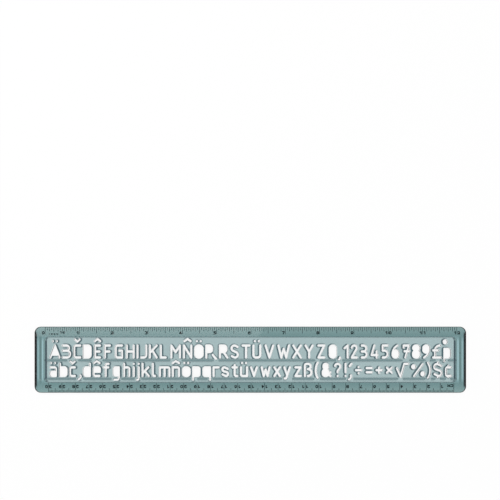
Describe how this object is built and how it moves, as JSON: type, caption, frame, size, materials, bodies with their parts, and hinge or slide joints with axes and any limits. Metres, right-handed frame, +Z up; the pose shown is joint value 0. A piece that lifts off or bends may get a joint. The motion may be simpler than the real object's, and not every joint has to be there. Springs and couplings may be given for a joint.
{
  "type": "lettering stencil",
  "caption": "Flat plastic lettering stencil with pen slots for capitals, small letters, numerals and signs, and a printed inch and centimetre rule along its edges.",
  "frame": {"origin": "middle of the plate's underside", "axes": "+X along the plate to the reader's right, +Y across it towards the inch edge, +Z up out of the printed side"},
  "size_m": [0.32, 0.049, 0.0022],
  "materials": {
    "tinted_plastic": "clear grey-green moulded plastic, glossy",
    "black_ink": "printed ink, matt"
  },
  "bodies": {
    "root": {"stencil_plate": "tinted_plastic", "inch_graduations": "black_ink", "inch_numerals": "black_ink", "inch_unit_mark": "black_ink", "centimetre_graduations": "black_ink", "centimetre_numerals": "black_ink", "centimetre_unit_mark": "black_ink"}
  },
  "joints": []
}
